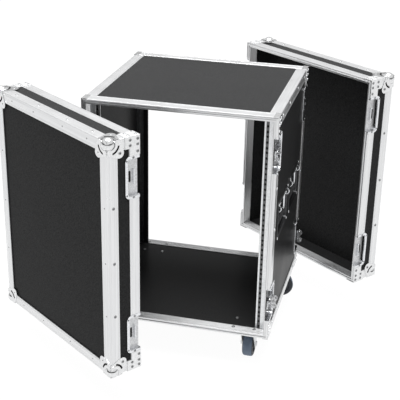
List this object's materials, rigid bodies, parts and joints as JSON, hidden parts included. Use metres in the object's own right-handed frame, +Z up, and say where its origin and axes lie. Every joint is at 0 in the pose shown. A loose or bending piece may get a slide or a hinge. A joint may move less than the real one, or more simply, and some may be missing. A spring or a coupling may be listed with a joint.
{
  "type": "equipment rack case",
  "caption": "Road case with 19-inch rack rails inside, open at front and rear, on swivel castors, with its two lift-off covers set down turned beside it",
  "frame": {"origin": "on the floor midway under the case body, which is the centre of the whole box because the two covers stand point-symmetrically", "axes": "+Z up; the front opening faces -Y, the rear opening +Y; +X is the right side seen from the front"},
  "size_m": [1.0434, 1.1032, 0.763],
  "materials": {
    "black_laminate": "satin fine-grained laminate on plywood",
    "aluminium": "satin, fine lengthwise grooves",
    "zinc_steel": "bright zinc plate",
    "chrome_steel": "bright plate",
    "corner_steel": "bright zinc plate, slightly worn",
    "rail_steel": "zinc plate",
    "rivet_steel": "bright",
    "castor_steel": "zinc plate",
    "grip_rubber": "matt",
    "castor_core": "moulded",
    "castor_tread": "blue-grey elastic rubber"
  },
  "bodies": {
    "case_body": {"top_panel": "black_laminate", "bottom_panel": "black_laminate", "left_side_panel": "black_laminate", "right_side_panel": "black_laminate", "edge_angles": "aluminium", "front_rim": "aluminium", "rear_rim": "aluminium", "body_corner_braces": "zinc_steel", "latch_dishes": "zinc_steel", "latch_hooks": "zinc_steel", "handle_dishes": "zinc_steel", "front_rack_rails": "rail_steel", "rear_rack_rails": "rail_steel", "body_rivets": "rivet_steel", "castor_bolts": "rivet_steel", "castor_plates": "castor_steel"},
    "handle_right_front": {"handle_bail_right_front": "chrome_steel", "handle_grip_right_front": "grip_rubber"},
    "latch_right_front_upper": {"latch_wing_right_front_upper": "zinc_steel"},
    "latch_right_front_lower": {"latch_wing_right_front_lower": "zinc_steel"},
    "castor_swivel_right_front": {"castor_fork_right_front": "castor_steel"},
    "castor_wheel_right_front": {"castor_hub_right_front": "castor_core", "castor_tyre_right_front": "castor_tread"},
    "handle_right_rear": {"handle_bail_right_rear": "chrome_steel", "handle_grip_right_rear": "grip_rubber"},
    "latch_right_rear_upper": {"latch_wing_right_rear_upper": "zinc_steel"},
    "latch_right_rear_lower": {"latch_wing_right_rear_lower": "zinc_steel"},
    "castor_swivel_right_rear": {"castor_fork_right_rear": "castor_steel"},
    "castor_wheel_right_rear": {"castor_hub_right_rear": "castor_core", "castor_tyre_right_rear": "castor_tread"},
    "handle_left_front": {"handle_bail_left_front": "chrome_steel", "handle_grip_left_front": "grip_rubber"},
    "latch_left_front_upper": {"latch_wing_left_front_upper": "zinc_steel"},
    "latch_left_front_lower": {"latch_wing_left_front_lower": "zinc_steel"},
    "castor_swivel_left_front": {"castor_fork_left_front": "castor_steel"},
    "castor_wheel_left_front": {"castor_hub_left_front": "castor_core", "castor_tyre_left_front": "castor_tread"},
    "handle_left_rear": {"handle_bail_left_rear": "chrome_steel", "handle_grip_left_rear": "grip_rubber"},
    "latch_left_rear_upper": {"latch_wing_left_rear_upper": "zinc_steel"},
    "latch_left_rear_lower": {"latch_wing_left_rear_lower": "zinc_steel"},
    "castor_swivel_left_rear": {"castor_fork_left_rear": "castor_steel"},
    "castor_wheel_left_rear": {"castor_hub_left_rear": "castor_core", "castor_tyre_left_rear": "castor_tread"},
    "front_cover": {"front_cover_boards": "black_laminate", "front_cover_edging": "aluminium", "front_cover_rim": "aluminium", "front_cover_ball_corners": "corner_steel", "front_cover_corner_braces": "zinc_steel", "front_cover_keepers": "zinc_steel", "front_cover_rivets": "rivet_steel"},
    "rear_cover": {"rear_cover_boards": "black_laminate", "rear_cover_edging": "aluminium", "rear_cover_rim": "aluminium", "rear_cover_ball_corners": "corner_steel", "rear_cover_corner_braces": "zinc_steel", "rear_cover_keepers": "zinc_steel", "rear_cover_rivets": "rivet_steel"}
  },
  "joints": [
    {"name": "handle_right_front_swing", "type": "hinge", "parent": "case_body", "child": "handle_right_front", "pos_m": [0.256, -0.095, 0.464], "axis": [0, -1, 0], "range_deg": [0, 90], "stiffness_Nm_per_rad": 0.4, "springref_deg": -20.05},
    {"name": "latch_right_front_upper_twist", "type": "hinge", "parent": "case_body", "child": "latch_right_front_upper", "pos_m": [0.265, -0.22, 0.648], "axis": [1, 0, 0], "range_deg": [0, 180]},
    {"name": "latch_right_front_lower_twist", "type": "hinge", "parent": "case_body", "child": "latch_right_front_lower", "pos_m": [0.265, -0.22, 0.21], "axis": [1, 0, 0], "range_deg": [0, 180]},
    {"name": "castor_right_front_swivel", "type": "hinge", "parent": "case_body", "child": "castor_swivel_right_front", "pos_m": [0.201, -0.202, 0.09], "axis": [0, 0, 1], "continuous": true},
    {"name": "castor_right_front_roll", "type": "hinge", "parent": "castor_swivel_right_front", "child": "castor_wheel_right_front", "pos_m": [0.201, -0.174, 0.0375], "axis": [1, 0, 0], "continuous": true},
    {"name": "handle_right_rear_swing", "type": "hinge", "parent": "case_body", "child": "handle_right_rear", "pos_m": [0.256, 0.095, 0.464], "axis": [0, -1, 0], "range_deg": [0, 90], "stiffness_Nm_per_rad": 0.4, "springref_deg": -20.05},
    {"name": "latch_right_rear_upper_twist", "type": "hinge", "parent": "case_body", "child": "latch_right_rear_upper", "pos_m": [0.265, 0.22, 0.648], "axis": [1, 0, 0], "range_deg": [0, 180]},
    {"name": "latch_right_rear_lower_twist", "type": "hinge", "parent": "case_body", "child": "latch_right_rear_lower", "pos_m": [0.265, 0.22, 0.21], "axis": [1, 0, 0], "range_deg": [0, 180]},
    {"name": "castor_right_rear_swivel", "type": "hinge", "parent": "case_body", "child": "castor_swivel_right_rear", "pos_m": [0.201, 0.202, 0.09], "axis": [0, 0, 1], "continuous": true},
    {"name": "castor_right_rear_roll", "type": "hinge", "parent": "castor_swivel_right_rear", "child": "castor_wheel_right_rear", "pos_m": [0.22805, 0.20925, 0.0375], "axis": [0.2588, -0.9659, 0], "continuous": true},
    {"name": "handle_left_front_swing", "type": "hinge", "parent": "case_body", "child": "handle_left_front", "pos_m": [-0.256, -0.095, 0.464], "axis": [0, 1, 0], "range_deg": [0, 90], "stiffness_Nm_per_rad": 0.4, "springref_deg": -20.05},
    {"name": "latch_left_front_upper_twist", "type": "hinge", "parent": "case_body", "child": "latch_left_front_upper", "pos_m": [-0.265, -0.22, 0.648], "axis": [-1, 0, 0], "range_deg": [0, 180]},
    {"name": "latch_left_front_lower_twist", "type": "hinge", "parent": "case_body", "child": "latch_left_front_lower", "pos_m": [-0.265, -0.22, 0.21], "axis": [-1, 0, 0], "range_deg": [0, 180]},
    {"name": "castor_left_front_swivel", "type": "hinge", "parent": "case_body", "child": "castor_swivel_left_front", "pos_m": [-0.201, -0.202, 0.09], "axis": [0, 0, 1], "continuous": true},
    {"name": "castor_left_front_roll", "type": "hinge", "parent": "castor_swivel_left_front", "child": "castor_wheel_left_front", "pos_m": [-0.201, -0.174, 0.0375], "axis": [1, 0, 0], "continuous": true},
    {"name": "handle_left_rear_swing", "type": "hinge", "parent": "case_body", "child": "handle_left_rear", "pos_m": [-0.256, 0.095, 0.464], "axis": [0, 1, 0], "range_deg": [0, 90], "stiffness_Nm_per_rad": 0.4, "springref_deg": -20.05},
    {"name": "latch_left_rear_upper_twist", "type": "hinge", "parent": "case_body", "child": "latch_left_rear_upper", "pos_m": [-0.265, 0.22, 0.648], "axis": [-1, 0, 0], "range_deg": [0, 180]},
    {"name": "latch_left_rear_lower_twist", "type": "hinge", "parent": "case_body", "child": "latch_left_rear_lower", "pos_m": [-0.265, 0.22, 0.21], "axis": [-1, 0, 0], "range_deg": [0, 180]},
    {"name": "castor_left_rear_swivel", "type": "hinge", "parent": "case_body", "child": "castor_swivel_left_rear", "pos_m": [-0.201, 0.202, 0.09], "axis": [0, 0, 1], "continuous": true},
    {"name": "castor_left_rear_roll", "type": "hinge", "parent": "castor_swivel_left_rear", "child": "castor_wheel_left_rear", "pos_m": [-0.201, 0.23, 0.0375], "axis": [1, 0, 0], "continuous": true},
    {"name": "front_cover_draw_off", "type": "slide", "parent": "case_body", "child": "front_cover", "axis": [-0.5948, -0.8039, 0], "range_m": [0, 0.25]},
    {"name": "rear_cover_draw_off", "type": "slide", "parent": "case_body", "child": "rear_cover", "axis": [0.5948, 0.8039, 0], "range_m": [0, 0.25]}
  ]
}
